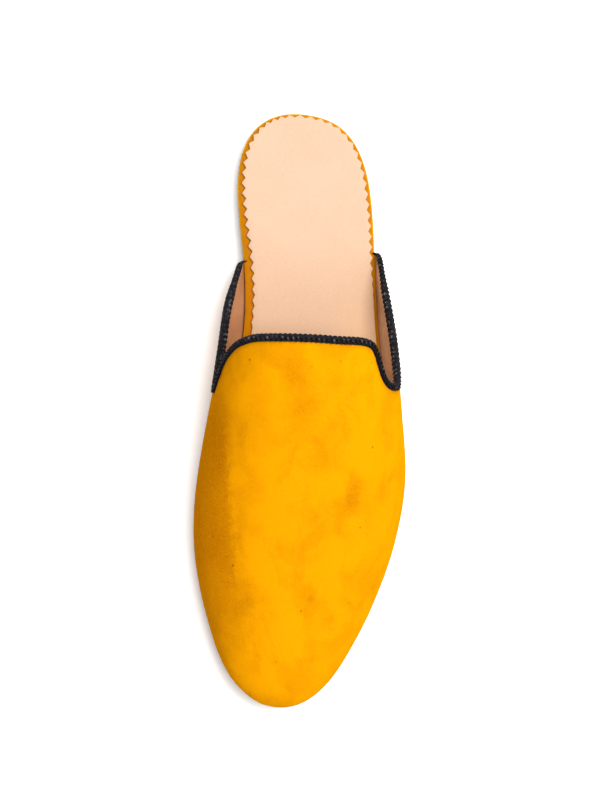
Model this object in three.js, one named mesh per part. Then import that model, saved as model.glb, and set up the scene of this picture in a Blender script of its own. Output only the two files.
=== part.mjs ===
// A backless leather slipper (babouche) for the left foot, empty and standing on the floor.
// Millimetres. X runs from the medial side (-) to the lateral side (+), Y from the toe (-) to the
// heel (+), Z up from the floor. A station is a distance from the back of the heel towards the toe.
import * as THREE from 'three';

// Thicknesses and clearances
const FIT_GAP = 0.3;
const WALL = 1.6; // suede and lining together
const OUTSOLE_THICKNESS = 4.0;
const FOOTBED_THICKNESS = 3.5;
const SOCK_THICKNESS = 1.1;
const LIFT_HEIGHT = 6.0;

// The middle of the slipper's length and of its width, which the origin lies under
const MID_STATION = 131.0;
const MID_ACROSS = -0.5;

// Edge of the footbed in plan. The first and last rows are its heel and toe tips.
const FOOTBED_EDGE = [
  { station: 0, medial: -2.5, lateral: -2.5 },
  { station: 4, medial: -16.4, lateral: 15.0 },
  { station: 12.6, medial: -23.6, lateral: 23.8 },
  { station: 26, medial: -27.1, lateral: 29.3 },
  { station: 46, medial: -26.7, lateral: 32.0 },
  { station: 66, medial: -24.6, lateral: 32.9 },
  { station: 86, medial: -24.0, lateral: 33.9 },
  { station: 106, medial: -26.0, lateral: 35.7 },
  { station: 126, medial: -31.6, lateral: 38.6 },
  { station: 146, medial: -37.6, lateral: 41.2 },
  { station: 166, medial: -41.9, lateral: 41.7 },
  { station: 186, medial: -43.0, lateral: 38.5 },
  { station: 206, medial: -41.0, lateral: 32.2 },
  { station: 226, medial: -36.1, lateral: 23.3 },
  { station: 241, medial: -30.3, lateral: 14.8 },
  { station: 251, medial: -23.0, lateral: 6.2 },
  { station: 255.4, medial: -16.9, lateral: -0.5 },
  { station: 257.2, medial: -8.7, lateral: -8.7 },
];

// Widest line of the upper in plan, from the back of the wings to the toe tip
const WIDEST_LINE = [
  { station: 61, medial: -28.0, lateral: 36.2 },
  { station: 69, medial: -29.2, lateral: 36.7 },
  { station: 76, medial: -31.0, lateral: 37.3 },
  { station: 86, medial: -33.3, lateral: 38.7 },
  { station: 100, medial: -35.2, lateral: 40.8 },
  { station: 118, medial: -37.9, lateral: 42.8 },
  { station: 135, medial: -41.3, lateral: 44.5 },
  { station: 153, medial: -44.5, lateral: 46.1 },
  { station: 166, medial: -46.3, lateral: 46.0 },
  { station: 179, medial: -47.3, lateral: 44.2 },
  { station: 193, medial: -46.9, lateral: 41.0 },
  { station: 208, medial: -44.8, lateral: 36.0 },
  { station: 223, medial: -41.2, lateral: 29.5 },
  { station: 236, medial: -37.2, lateral: 22.6 },
  { station: 247.4, medial: -31.9, lateral: 15.5 },
  { station: 256.7, medial: -23.9, lateral: 6.9 },
  { station: 261.1, medial: -17.2, lateral: -0.2 },
  { station: 262.7, medial: -8.7, lateral: -8.7 },
];

// Along the vamp: the ridge's height over the floor and its offset across, how far the widest line
// lies above the upper's bottom edge, and the power that rounds the section (2 is an ellipse)
const VAMP_SECTIONS = [
  { station: 61, ridge: 79.0, ridgeAcross: 2.0, widestRise: 22, power: 2.2 },
  { station: 81, ridge: 76.0, ridgeAcross: 1.0, widestRise: 26, power: 2.2 },
  { station: 100, ridge: 72.0, ridgeAcross: -0.5, widestRise: 27, power: 2.2 },
  { station: 121, ridge: 67.0, ridgeAcross: -2.5, widestRise: 25, power: 2.2 },
  { station: 141, ridge: 61.5, ridgeAcross: -3.5, widestRise: 20, power: 2.2 },
  { station: 161, ridge: 55.5, ridgeAcross: -4.5, widestRise: 16, power: 2.15 },
  { station: 181, ridge: 49.0, ridgeAcross: -5.5, widestRise: 13.5, power: 2.1 },
  { station: 201, ridge: 43.0, ridgeAcross: -7.0, widestRise: 12, power: 2.05 },
  { station: 221, ridge: 37.5, ridgeAcross: -8.5, widestRise: 11, power: 2.0 },
  { station: 239, ridge: 32.6, ridgeAcross: -9.0, widestRise: 9.8, power: 2.0 },
  { station: 251.5, ridge: 28.9, ridgeAcross: -8.8, widestRise: 8.8, power: 2.0 },
  { station: 258.8, ridge: 24.9, ridgeAcross: -8.7, widestRise: 7.9, power: 2.0 },
  { station: 262.7, ridge: 18.2, ridgeAcross: -8.7, widestRise: 7.3, power: 2.0 },
];

// Edge of the leather, from the back tip of each wing through its notch to the middle of the
// throat. Climb is 0 at the upper's bottom edge, 1 at its widest line and 2 at the ridge.
const TOPLINE = [
  { climb: 0.22, medial: 66.2, lateral: 62.2 },
  { climb: 0.4, medial: 68.5, lateral: 64.9 },
  { climb: 0.59, medial: 73.4, lateral: 70.6 },
  { climb: 0.79, medial: 82.5, lateral: 80 },
  { climb: 0.91, medial: 93, lateral: 91 },
  { climb: 0.985, medial: 104, lateral: 103 },
  { climb: 1.02, medial: 111, lateral: 110.2 },
  { climb: 1.05, medial: 117, lateral: 114.8 },
  { climb: 1.09, medial: 122.5, lateral: 117.5 },
  { climb: 1.14, medial: 118.6, lateral: 119.7 },
  { climb: 1.2, medial: 112.5, lateral: 120.7 },
  { climb: 1.27, medial: 108, lateral: 120.8 },
  { climb: 1.34, medial: 105, lateral: 119.8 },
  { climb: 1.41, medial: 102.7, lateral: 115.3 },
  { climb: 1.5, medial: 101.2, lateral: 103.2 },
  { climb: 1.6, medial: 100.1, lateral: 101.6 },
  { climb: 1.76, medial: 99.9, lateral: 101.2 },
];
const THROAT_STATION = 100.2;
const STEPS_PER_ROW = 3;
const NOTCH_ROW = 8;

// Underside of the outsole: level on the heel lift, down through the waist, level under the ball,
// then rising to the toe
const WAIST_START = 57;
const WAIST_END = 129;
const SPRING_START = 187;
const TOE_SPRING = 6.0;

// Cubic curve through rows that may be unevenly spaced
function curveThrough(at, values) {
  const last = at.length - 1;
  const secant = (k) => (values[k + 1] - values[k]) / (at[k + 1] - at[k]);
  const slopes = at.map((_, k) => {
    if (k === 0) return secant(0);
    if (k === last) return secant(last - 1);
    const before = at[k] - at[k - 1];
    const after = at[k + 1] - at[k];
    return (after * secant(k - 1) + before * secant(k)) / (before + after);
  });
  return (t) => {
    let k = 0;
    while (k < last - 1 && t > at[k + 1]) k++;
    const span = at[k + 1] - at[k];
    const u = (t - at[k]) / span;
    const rise = values[k + 1] - values[k];
    const a = slopes[k] * span - rise;
    const b = rise - slopes[k + 1] * span;
    return values[k] + u * rise + u * (1 - u) * (a * (1 - u) + b * u);
  };
}

const column = (rows, name) => rows.map((row) => row[name]);
const yOf = (station) => MID_STATION - station;
const stationOf = (y) => MID_STATION - y;
const xOf = (across) => across - MID_ACROSS;
const smooth = (t) => t * t * (3 - 2 * t);

function treadHeight(station) {
  const waist = THREE.MathUtils.clamp((station - WAIST_START) / (WAIST_END - WAIST_START), 0, 1);
  const spring = Math.max(0, (station - SPRING_START) / (FOOTBED_LENGTH - SPRING_START));
  return LIFT_HEIGHT * (1 - smooth(waist)) + TOE_SPRING * spring * spring;
}
const featherHeight = (station) => treadHeight(station) + OUTSOLE_THICKNESS + FIT_GAP;

// The footbed's edge as a closed curve of a turn: 0 at the heel tip, half a turn at the toe tip, out
// along the lateral side and back along the medial side
const FOOTBED_LENGTH = FOOTBED_EDGE.at(-1).station;
const turnAt = (station) => Math.acos(THREE.MathUtils.clamp(1 - (2 * station) / FOOTBED_LENGTH, -1, 1));
const footbedAcross = (() => {
  const out = FOOTBED_EDGE.map((row) => [turnAt(row.station), row.lateral]);
  const between = FOOTBED_EDGE.slice(1, -1).reverse();
  const back = between.map((row) => [2 * Math.PI - turnAt(row.station), row.medial]);
  const ring = [...out, ...back];
  const before = ring.slice(-2).map(([turn, across]) => [turn - 2 * Math.PI, across]);
  const after = ring.slice(0, 3).map(([turn, across]) => [turn + 2 * Math.PI, across]);
  const rows = [...before, ...ring, ...after];
  return curveThrough(rows.map((row) => row[0]), rows.map((row) => row[1]));
})();

// Point of the footbed's edge in plan, moved outwards by margin
function edgePoint(turn, margin = 0) {
  const at = (t) => {
    const wrapped = THREE.MathUtils.euclideanModulo(t, 2 * Math.PI);
    const station = (FOOTBED_LENGTH / 2) * (1 - Math.cos(wrapped));
    return new THREE.Vector2(xOf(footbedAcross(wrapped)), yOf(station));
  };
  const step = 0.004;
  const along = at(turn + step).sub(at(turn - step)).normalize();
  return at(turn).add(new THREE.Vector2(-along.y, along.x).multiplyScalar(margin));
}

function meshOf(name, positions, indices, material) {
  const geometry = new THREE.BufferGeometry();
  const numbers = positions.flatMap((point) => point.toArray());
  geometry.setAttribute('position', new THREE.Float32BufferAttribute(numbers, 3));
  geometry.setIndex(indices);
  geometry.computeVertexNormals();
  const mesh = new THREE.Mesh(geometry, material);
  mesh.name = name;
  return mesh;
}

// A bent slab inside a closed outline. Its edge is a profile of rows from the bottom face to the top
// face. Turns come in pairs of equal station, so each face is a row of strips across the slipper.
function slab(name, turns, profile, outline, base, material) {
  const count = turns.length;
  const positions = profile.flatMap((row) =>
    turns.map((turn, k) => {
      const plan = outline(turn, k, row.inset);
      return new THREE.Vector3(plan.x, plan.y, base(stationOf(plan.y)) + row.height);
    }),
  );
  const indices = [];
  const next = (k) => (k + 1) % count;
  for (let ring = 0; ring < profile.length - 1; ring++) {
    for (let k = 0; k < count; k++) {
      const a = ring * count + k;
      const b = ring * count + next(k);
      indices.push(a, a + count, b, b, a + count, b + count);
    }
  }
  const top = (profile.length - 1) * count;
  for (let k = 0; k < count / 2; k++) {
    const strip = [k, k + 1, count - k - 1, (count - k) % count];
    for (const [a, b, c] of [[0, 1, 2], [0, 2, 3]]) {
      const corners = [strip[a], strip[b], strip[c]];
      if (new Set(corners).size < 3) continue;
      indices.push(...corners, ...corners.map((corner) => top + corner).reverse());
    }
  }
  return meshOf(name, positions, indices, material);
}

const evenTurns = (count) => Array.from({ length: count }, (_, k) => (2 * Math.PI * k) / count);

const leather = (color, roughness) => new THREE.MeshStandardMaterial({ color, roughness, metalness: 0 });
const SUEDE = leather(0xf0a400, 0.95);
const DYED_RIM = leather(0xd98a08, 0.7);
const NATURAL_LEATHER = leather(0xf3c9a2, 0.75);
const DARK_SOLE = leather(0x2b2019, 0.6);
const HEEL_RUBBER = leather(0x1b1816, 0.85);
const BLACK_BRAID = leather(0x141416, 0.8);

// Outsole: it reaches under the upper's wall, and draws in to the footbed's edge round the heel
const HEEL_MARGIN = -0.6;
const WALL_MARGIN = 1.7;
const MARGIN_START = 58;
const MARGIN_END = 71;
function outsoleMargin(turn) {
  const station = (FOOTBED_LENGTH / 2) * (1 - Math.cos(turn));
  const grown = THREE.MathUtils.clamp((station - MARGIN_START) / (MARGIN_END - MARGIN_START), 0, 1);
  return HEEL_MARGIN + (WALL_MARGIN - HEEL_MARGIN) * smooth(grown);
}

function makeOutsole() {
  const profile = [
    { inset: 0.7, height: 0 },
    { inset: 0, height: 0.7 },
    { inset: 0, height: OUTSOLE_THICKNESS - 0.4 },
    { inset: 0.4, height: OUTSOLE_THICKNESS },
  ];
  const outline = (turn, _, inset) => edgePoint(turn, outsoleMargin(turn) - inset);
  return slab('outsole', evenTurns(96), profile, outline, treadHeight, DARK_SOLE);
}

// Heel lift: one flat lift under the heel seat, its front edge hollowed a little
const LIFT_FRONT = 58;
const LIFT_HOLLOW = 4;
const LIFT_INSET = 0.4;
function makeHeelLift() {
  const reach = turnAt(LIFT_FRONT);
  const steps = 24;
  const shape = new THREE.Shape();
  for (let k = 0; k <= steps; k++) {
    const turn = reach * (1 - (2 * k) / steps);
    const plan = edgePoint(turn, HEEL_MARGIN - LIFT_INSET);
    if (k === 0) shape.moveTo(plan.x, plan.y);
    else shape.lineTo(plan.x, plan.y);
  }
  const first = edgePoint(reach, HEEL_MARGIN - LIFT_INSET);
  const middle = (first.x + edgePoint(-reach).x) / 2;
  shape.quadraticCurveTo(middle, yOf(LIFT_FRONT - 2 * LIFT_HOLLOW), first.x, first.y);
  const geometry = new THREE.ExtrudeGeometry(shape, {
    depth: LIFT_HEIGHT - FIT_GAP,
    bevelEnabled: false,
    curveSegments: 8,
  });
  const mesh = new THREE.Mesh(geometry, HEEL_RUBBER);
  mesh.name = 'heel_lift';
  return mesh;
}

// Footbed: a board wrapped in dyed leather, whose rolled edge is the rim round the heel
function makeFootbed() {
  const profile = [
    { inset: 0.4, height: 0 },
    { inset: 0, height: 0.6 },
    { inset: 0, height: 2.2 },
    { inset: 0.5, height: 3.1 },
    { inset: 1.4, height: FOOTBED_THICKNESS },
  ];
  const outline = (turn, _, inset) => edgePoint(turn, -inset);
  return slab('footbed', evenTurns(96), profile, outline, featherHeight, DYED_RIM);
}

// Sock: thin leather on the footbed, its edge pinked round the heel as far as the throat
const TOOTH_PITCH = 4.7;
const INSIDE_TEETH = 3;
const PINKED_TO = 93;
const PLAIN_STEP = 7;
const SOCK_EDGE = [
  { station: 0, medial: 0.4, lateral: 0.4, medialTooth: 1.2, lateralTooth: 1.2 },
  { station: 16, medial: 1.0, lateral: 0.6, medialTooth: 1.6, lateralTooth: 1.3 },
  { station: 31, medial: 1.4, lateral: 0.9, medialTooth: 1.7, lateralTooth: 1.4 },
  { station: 46, medial: 1.8, lateral: 0.9, medialTooth: 1.7, lateralTooth: 1.4 },
  { station: 66, medial: 2.4, lateral: 0.8, medialTooth: 1.5, lateralTooth: 1.2 },
  { station: 79, medial: 2.7, lateral: 1.0, medialTooth: 1.2, lateralTooth: 0.3 },
  { station: 96, medial: 2.7, lateral: 1.2, medialTooth: 0.6, lateralTooth: 0.0 },
  { station: 257.2, medial: 2.0, lateral: 2.0, medialTooth: 0.0, lateralTooth: 0.0 },
];
function makeSock() {
  const half = [0];
  let pinked = 0;
  while (half.at(-1) < Math.PI) {
    const turn = half.at(-1);
    const pace = edgePoint(turn + 0.01).distanceTo(edgePoint(turn - 0.01)) / 0.02;
    const station = (FOOTBED_LENGTH / 2) * (1 - Math.cos(turn));
    const inTeeth = station < PINKED_TO;
    if (inTeeth) pinked = half.length;
    half.push(Math.min(Math.PI, turn + (inTeeth ? TOOTH_PITCH / 2 : PLAIN_STEP) / pace));
  }
  const turns = [...half, ...half.slice(1, -1).reverse().map((turn) => 2 * Math.PI - turn)];
  const stations = column(SOCK_EDGE, 'station');
  const along = (name) => curveThrough(stations, column(SOCK_EDGE, name));
  const medial = { edge: along('medial'), tooth: along('medialTooth') };
  const lateral = { edge: along('lateral'), tooth: along('lateralTooth') };
  const outline = (turn, k, inset) => {
    const step = Math.min(k, turns.length - k);
    const station = (FOOTBED_LENGTH / 2) * (1 - Math.cos(turn));
    const side = turn > Math.PI ? medial : lateral;
    const cut = inset === 0 && step <= pinked && step % 2 === 0 ? side.tooth(station) : 0;
    return edgePoint(turn, -(side.edge(station) + cut + inset));
  };
  const profile = [
    { inset: INSIDE_TEETH, height: 0 },
    { inset: 0, height: 0 },
    { inset: 0, height: SOCK_THICKNESS },
    { inset: INSIDE_TEETH, height: SOCK_THICKNESS },
  ];
  const base = (station) => featherHeight(station) + FOOTBED_THICKNESS + FIT_GAP;
  return slab('sock', turns, profile, outline, base, NATURAL_LEATHER);
}

// The upper's outer surface. A place round the toe is a signed number: 0 at the toe tip, -1 and +1
// at station 61 on the medial and lateral sides. Squared, it is the share of the way back.
const UPPER_START = WIDEST_LINE[0].station;
const UPPER_TIP = WIDEST_LINE.at(-1).station;
const UPPER_SPAN = UPPER_TIP - UPPER_START;
const placeOf = (station) => Math.sqrt(Math.max(0, UPPER_TIP - station) / UPPER_SPAN);
const stationAt = (place) => UPPER_TIP - UPPER_SPAN * place * place;

const widestAcross = (() => {
  const medial = WIDEST_LINE.map((row) => [-placeOf(row.station), row.medial]);
  const lateral = WIDEST_LINE.slice(0, -1).reverse().map((row) => [placeOf(row.station), row.lateral]);
  const rows = [...medial, ...lateral];
  return curveThrough(rows.map((row) => row[0]), rows.map((row) => row[1]));
})();

const sectionPlaces = [...VAMP_SECTIONS].reverse().map((row) => placeOf(row.station));
const alongVamp = (name) => curveThrough(sectionPlaces, column([...VAMP_SECTIONS].reverse(), name));
const ridgeHeight = alongVamp('ridge');
const ridgeAcross = alongVamp('ridgeAcross');
const widestRise = alongVamp('widestRise');
const sectionPower = alongVamp('power');

// Bottom edge of the wall, outside the footbed by the fitting gap and the wall's thickness
function wallFoot(place) {
  const station = UPPER_START + (1 - place * place) * (FOOTBED_LENGTH - UPPER_START);
  const turn = place < 0 ? 2 * Math.PI - turnAt(station) : turnAt(station);
  return edgePoint(turn, FIT_GAP + WALL);
}

// Side wall: from its foot it swells out to the widest line, where it stands upright
function wallPoint(place, climb) {
  const foot = wallFoot(place);
  const widest = new THREE.Vector2(xOf(widestAcross(place)), yOf(stationAt(place)));
  const plan = foot.lerp(widest, 1 - (1 - climb) ** 2);
  const height = featherHeight(stationOf(plan.y)) + climb * widestRise(Math.abs(place));
  return new THREE.Vector3(plan.x, plan.y, height);
}

// Vamp above the widest line. Sideways and upright are the place along the widest line and along
// the ridge, so that lines straight in these two fan out evenly round the toe.
function vampPoint(sideways, upright) {
  const place = Math.hypot(sideways, upright);
  if (place < 1e-6) return wallPoint(0, 1);
  const station = stationAt(place);
  const side = Math.sign(sideways) || 1;
  const power = 2 / sectionPower(place);
  const ridge = ridgeAcross(place);
  const reach = Math.abs(sideways / place) ** power;
  const rise = (upright / place) ** power;
  const across = ridge + (widestAcross(side * place) - ridge) * reach;
  const widest = featherHeight(station) + widestRise(place);
  return new THREE.Vector3(xOf(across), yOf(station), widest + (ridgeHeight(place) - widest) * rise);
}

// The topline as points of place, climb and side, from the medial wing round to the lateral wing
function toplinePoints() {
  const medial = TOPLINE.map((row) => [row.medial, row.climb - 2]);
  const lateral = [...TOPLINE].reverse().map((row) => [row.lateral, 2 - row.climb]);
  const rows = [...medial, [THROAT_STATION, 0], ...lateral];
  const climbLength = 30;
  const knots = rows.map(([station, climb]) => new THREE.Vector3(station, climb * climbLength, 0));
  const curve = new THREE.CatmullRomCurve3(knots, false);
  const steps = (rows.length - 1) * STEPS_PER_ROW;
  return Array.from({ length: steps + 1 }, (_, k) => {
    const point = curve.getPoint(k / steps);
    const signed = point.y / climbLength;
    return { place: placeOf(point.x), climb: 2 - Math.abs(signed), side: Math.sign(signed) || 1 };
  });
}

// Where a topline point lies on the surface
function surfacePoint({ place, climb, side }) {
  if (climb <= 1) return wallPoint(side * place, climb);
  const angle = (climb - 1) * (Math.PI / 2);
  return vampPoint(side * place * Math.cos(angle), place * Math.sin(angle));
}

// Length along a path at each of its points, a radian of bend counting as so many millimetres more
function lengthsAlong(points, bend = 0) {
  const lengths = [0];
  for (let k = 1; k < points.length; k++) {
    const behind = points[k].clone().sub(points[k - 1]);
    const ahead = points[Math.min(k + 1, points.length - 1)].clone().sub(points[k]);
    const turned = ahead.lengthSq() > 0 && behind.lengthSq() > 0 ? ahead.angleTo(behind) : 0;
    lengths.push(lengths[k - 1] + behind.length() + bend * turned);
  }
  return lengths;
}

// The first point of a path that is at least a share of its length along
const pointAtShare = (lengths, share) =>
  lengths.findIndex((length) => length >= share * lengths.at(-1) - 1e-9);

// Feet of the lasting lines: below the topline on each wing, then spread round the toe, closer
// where it bends
const TOE_BEND = 60;
function lineFeet(topline) {
  const notch = NOTCH_ROW * STEPS_PER_ROW;
  const end = topline.length - 1 - notch;
  const throat = lengthsAlong(topline.slice(notch, end + 1).map(surfacePoint));
  const steps = 400;
  const from = -topline[notch].place;
  const to = topline[end].place;
  const places = Array.from({ length: steps + 1 }, (_, k) => from + ((to - from) * k) / steps);
  const round = lengthsAlong(places.map((place) => wallPoint(place, 1)), TOE_BEND);
  return topline.map(({ place, side }, k) => {
    if (k <= notch || k >= end) return side * place;
    return places[pointAtShare(round, throat[k - notch] / throat.at(-1))];
  });
}

// One lasting line: up the wall from its foot, then straight over the vamp to the topline
const LINE_POINTS = 15;
const LINE_BEND = 36;
function lastingLine(foot, top) {
  const fine = 80;
  const line = [];
  const wallTop = Math.min(1, top.climb);
  for (let k = 0; k <= fine; k++) line.push(wallPoint(foot, (wallTop * k) / fine));
  if (top.climb > 1) {
    const angle = (top.climb - 1) * (Math.PI / 2);
    const sideways = top.side * top.place * Math.cos(angle);
    const upright = top.place * Math.sin(angle);
    for (let k = 1; k <= fine; k++) {
      const share = (k / fine) ** 1.5;
      line.push(vampPoint(foot + (sideways - foot) * share, upright * share));
    }
  }
  const lengths = lengthsAlong(line, LINE_BEND);
  return Array.from({ length: LINE_POINTS + 1 }, (_, j) => {
    const k = Math.max(1, pointAtShare(lengths, j / LINE_POINTS));
    const share = ((lengths.at(-1) * j) / LINE_POINTS - lengths[k - 1]) / (lengths[k] - lengths[k - 1]);
    return line[k - 1].clone().lerp(line[k], THREE.MathUtils.clamp(share, 0, 1));
  });
}

// The upper as a sheet of lasting lines, outer face and normals
function upperSheet() {
  const topline = toplinePoints();
  const feet = lineFeet(topline);
  const lines = topline.map((top, k) => lastingLine(feet[k], top));
  const indices = [];
  const row = LINE_POINTS + 1;
  for (let i = 0; i < lines.length - 1; i++) {
    for (let j = 0; j < LINE_POINTS; j++) {
      const a = i * row + j;
      indices.push(a, a + row, a + 1, a + 1, a + row, a + row + 1);
    }
  }
  const geometry = meshOf('sheet', lines.flat(), indices, null).geometry;
  const normals = geometry.getAttribute('normal');
  const normalAt = (i, j) => new THREE.Vector3().fromBufferAttribute(normals, i * row + j);
  return { lines, indices, normalAt };
}

// Upper: the sheet thickened inwards, closed along the bottom edge, the topline and the wing tips
function makeUpper({ lines, indices, normalAt }) {
  const row = LINE_POINTS + 1;
  const outer = lines.flat();
  const inner = lines.flatMap((line, i) =>
    line.map((point, j) => {
      const inside = point.clone().addScaledVector(normalAt(i, j), -WALL);
      if (j === 0) inside.z = point.z;
      return inside;
    }),
  );
  const count = outer.length;
  const all = [...indices];
  for (let k = 0; k < indices.length; k += 3) {
    all.push(count + indices[k], count + indices[k + 2], count + indices[k + 1]);
  }
  const close = (a, b) => all.push(a, b, a + count, b, b + count, a + count);
  for (let i = 0; i < lines.length - 1; i++) {
    close((i + 1) * row, i * row);
    close(i * row + LINE_POINTS, (i + 1) * row + LINE_POINTS);
  }
  for (let j = 0; j < LINE_POINTS; j++) {
    close(j, j + 1);
    close((lines.length - 1) * row + j + 1, (lines.length - 1) * row + j);
  }
  return meshOf('upper', [...outer, ...inner], all, SUEDE);
}

// Braid: a folded trim that straddles the leather's edge. Across is measured from the middle of the
// wall, and depth from its edge down into the leather.
const BRAID_GAP = 0.2;
const BRAID_THICKNESS = 0.7;
const BRAID_DEPTH = 2.3;
function makeBraid({ lines, normalAt }) {
  const inside = WALL / 2 + BRAID_GAP;
  const outside = inside + BRAID_THICKNESS;
  const crown = BRAID_GAP + BRAID_THICKNESS;
  const section = [
    { across: outside, depth: BRAID_DEPTH },
    { across: outside, depth: 0 },
    { across: inside, depth: -crown },
    { across: -inside, depth: -crown },
    { across: -outside, depth: 0 },
    { across: -outside, depth: BRAID_DEPTH },
    { across: -inside, depth: BRAID_DEPTH },
    { across: -inside, depth: -BRAID_GAP },
    { across: inside, depth: -BRAID_GAP },
    { across: inside, depth: BRAID_DEPTH },
  ];
  const middle = lines.map((line, i) => {
    return line.at(-1).clone().addScaledVector(normalAt(i, LINE_POINTS), -WALL / 2);
  });
  const positions = middle.flatMap((point, i) => {
    const before = middle[Math.max(0, i - 1)];
    const after = middle[Math.min(middle.length - 1, i + 1)];
    const along = after.clone().sub(before).normalize();
    const out = normalAt(i, LINE_POINTS);
    const down = along.clone().cross(out).normalize();
    return section.map(({ across, depth }) =>
      point.clone().addScaledVector(out, across).addScaledVector(down, depth),
    );
  });
  const sides = section.length;
  const indices = [];
  for (let i = 0; i < middle.length - 1; i++) {
    for (let k = 0; k < sides; k++) {
      const a = i * sides + k;
      const b = i * sides + ((k + 1) % sides);
      indices.push(a, a + sides, b, b, a + sides, b + sides);
    }
  }
  // Each end is closed as the two legs and the crown between them
  const endFaces = [[0, 1, 9], [1, 8, 9], [1, 2, 8], [2, 3, 8], [3, 7, 8], [3, 4, 7], [4, 5, 7], [5, 6, 7]];
  const last = (middle.length - 1) * sides;
  for (const [a, b, c] of endFaces) {
    indices.push(a, b, c);
    indices.push(last + a, last + c, last + b);
  }
  return meshOf('topline_braid', positions, indices, BLACK_BRAID);
}

const sheet = upperSheet();
const slipper = new THREE.Group();
slipper.add(makeOutsole(), makeHeelLift(), makeFootbed(), makeSock(), makeUpper(sheet), makeBraid(sheet));

export default slipper;
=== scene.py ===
"""A backless slipper of mustard suede for the left foot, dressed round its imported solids."""

import math

import bmesh
import bpy
import numpy as np
from mathutils import Matrix, Vector, kdtree


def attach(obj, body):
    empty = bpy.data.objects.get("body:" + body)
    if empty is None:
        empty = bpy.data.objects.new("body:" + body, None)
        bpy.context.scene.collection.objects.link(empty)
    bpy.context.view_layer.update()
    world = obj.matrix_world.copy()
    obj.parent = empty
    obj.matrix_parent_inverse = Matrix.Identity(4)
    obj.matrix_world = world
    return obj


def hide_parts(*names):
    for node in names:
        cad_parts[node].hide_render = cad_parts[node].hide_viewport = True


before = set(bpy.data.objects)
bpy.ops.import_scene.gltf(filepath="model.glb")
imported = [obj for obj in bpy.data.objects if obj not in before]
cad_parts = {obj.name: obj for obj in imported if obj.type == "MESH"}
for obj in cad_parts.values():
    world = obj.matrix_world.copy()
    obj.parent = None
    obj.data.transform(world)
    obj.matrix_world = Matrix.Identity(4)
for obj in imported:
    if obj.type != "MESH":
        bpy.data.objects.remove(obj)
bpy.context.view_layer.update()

bl_info = {
    "name": "Suede slipper",
    "version": (1, 0, 0),
    "blender": (4, 5, 0),
    "location": "View3D > Sidebar > Slipper",
    "description": "Upper, lining, braid, sock, footbed and sole of a backless slipper",
    "category": "Object",
}

MM = 0.001
BODY = "root"

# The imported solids' own sizes, in millimetres
WALL = 1.6
# The footbed's roll is pressed out this far, against the lining
RIM_PUSH = 0.38


# Sizes and colours that a user would change


def size_setting(label, description, millimetres):
    metres = millimetres * MM
    return bpy.props.FloatProperty(name=label, description=description, default=metres, unit="LENGTH")


def colour_setting(label, description, value):
    return bpy.props.FloatVectorProperty(
        name=label, description=description, default=value, subtype="COLOR", min=0, max=1
    )


class SlipperSizes(bpy.types.PropertyGroup):
    suede_thickness: size_setting("Suede", "Thickness of the suede in the wall", 0.85)
    lining_thickness: size_setting("Lining", "Thickness of the lining in the wall", 0.7)
    unevenness: size_setting("Unevenness", "How far the suede swells and sinks by hand", 0.25)
    lobe_pitch: size_setting("Braid lobe", "Distance between two lobes along the braid", 2.15)
    braid_reach: size_setting("Braid reach", "Half the braid's width, measured round the edge", 2.3)
    braid_shift: size_setting("Braid shift", "How far the braid sits to the outer side of the edge", 0.7)
    cord_width: size_setting("Cord width", "Width of one flattened cord of the braid", 1.75)
    cord_thickness: size_setting("Cord thickness", "Thickness of one cord of the braid", 0.62)
    cords: bpy.props.IntProperty(
        name="Cords", description="How many cords are plaited, an odd number", default=3, min=3, max=9
    )


class SlipperColours(bpy.types.PropertyGroup):
    suede: colour_setting("Suede", "Mustard suede", (0.545, 0.212, 0.0005))
    suede_deep: colour_setting("Suede, pressed", "Suede where its nap lies flat", (0.375, 0.132, 0.0005))
    lining: colour_setting("Lining", "Natural lining leather", (0.42, 0.19, 0.085))
    lining_edge: colour_setting("Lining edge", "Paler lining beside the braid", (0.45, 0.27, 0.14))
    sock: colour_setting("Sock", "Beige sock leather", (0.47, 0.312, 0.212))
    rim: colour_setting("Rim", "Dyed leather round the footbed", (0.37, 0.125, 0.001))
    sole: colour_setting("Sole", "Dark sole leather", (0.035, 0.022, 0.016))
    braid: colour_setting("Braid", "Black braid", (0.004, 0.0036, 0.0048))


# Second tones, which the colours above are mixed with

# Painted shade on the suede's medial flank
SUEDE_PAINTED_FLANK_SHADE = (0.27, 0.072, 0.0005)
# Painted shade on a band along the suede's medial flank
SUEDE_PAINTED_MEDIAL_SHADE = (0.27, 0.076, 0.0005)
SUEDE_TUFT = (0.66, 0.29, 0.001)
SUEDE_SPECK = (0.10, 0.035, 0.005)
SUEDE_SHEEN = (1.0, 0.42, 0.0, 1.0)
# Painted light on the lining's lateral side
LINING_PAINTED_LIGHT = (0.93, 0.57, 0.33)
LINING_PATCH = (0.24, 0.10, 0.045)
LINING_PORE = (0.16, 0.07, 0.03)
# Painted shade on the sock near the throat
SOCK_PAINTED_SHADE = (0.47, 0.272, 0.158)
# Painted light on the sock's lateral side near the throat
SOCK_PAINTED_LIGHT = (0.53, 0.325, 0.18)
SOCK_PATCH = (0.43, 0.265, 0.165)
SOCK_FLECK = (0.51, 0.375, 0.285)
SOCK_PORE = (0.28, 0.15, 0.085)
SOCK_SPECK = (0.22, 0.11, 0.06)
SOCK_CUT_EDGE = (0.40, 0.22, 0.10)
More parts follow.
